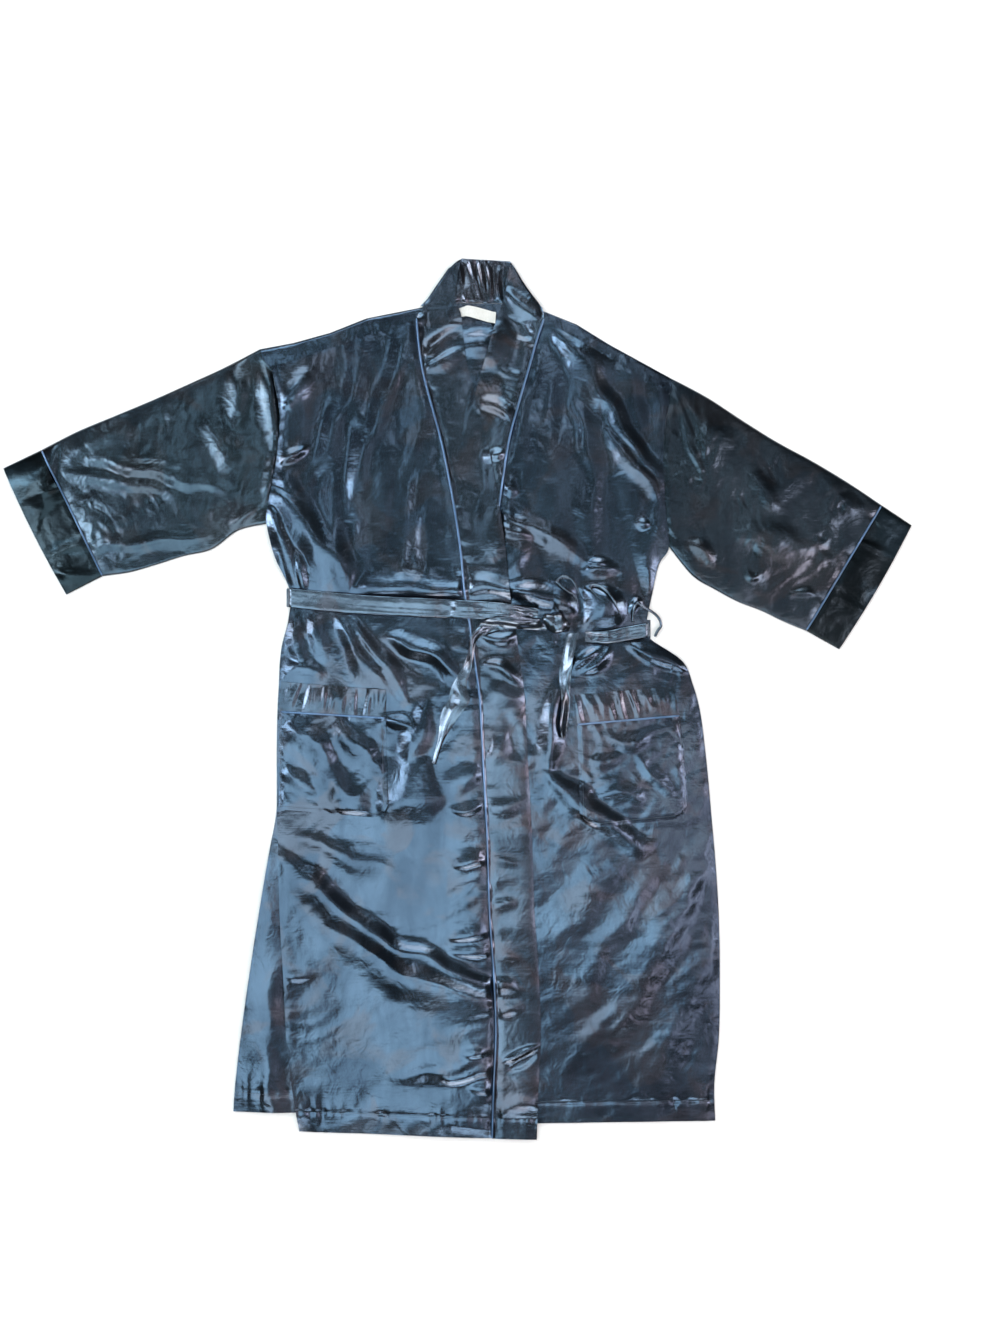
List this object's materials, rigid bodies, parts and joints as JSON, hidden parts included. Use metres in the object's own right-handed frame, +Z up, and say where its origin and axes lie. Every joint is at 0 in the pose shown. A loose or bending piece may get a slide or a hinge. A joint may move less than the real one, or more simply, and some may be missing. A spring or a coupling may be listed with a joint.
{
  "type": "satin robe",
  "caption": "Knee-length satin wrap robe with wide sleeves, piped bands, patch pockets and a tied belt, laid flat on its back.",
  "frame": {"origin": "middle of the laid-out garment's outline, on the surface that it lies on", "axes": "+X towards the wearer's left sleeve, +Y towards the collar, +Z up off the surface, on the side of the fronts"},
  "size_m": [1.18, 1.1434, 0.0223],
  "materials": {
    "satin": "glossy satin, near-black navy",
    "satin_band": "glossy satin, near-black navy",
    "piping": "glossy satin piping, steel blue",
    "label": "woven tab, off-white, bare"
  },
  "bodies": {
    "root": {"belt_back": "satin", "back": "satin", "collar": "satin_band", "sleeve_right": "satin", "cuff_right": "satin_band", "piping_cuff_right": "piping", "sleeve_left": "satin", "cuff_left": "satin_band", "piping_cuff_left": "piping", "front_left": "satin", "band_left": "satin_band", "piping_front_left": "piping", "pocket_left": "satin", "pocket_band_left": "satin_band", "piping_pocket_left": "piping", "label": "label", "front_right": "satin", "band_right": "satin_band", "piping_front_right": "piping", "pocket_right": "satin", "pocket_band_right": "satin_band", "piping_pocket_right": "piping", "belt_tail_right": "satin", "belt_tail_left": "satin", "belt_loop": "satin", "belt_front_right": "satin", "belt_front_left": "satin", "belt_knot": "satin"}
  },
  "joints": []
}
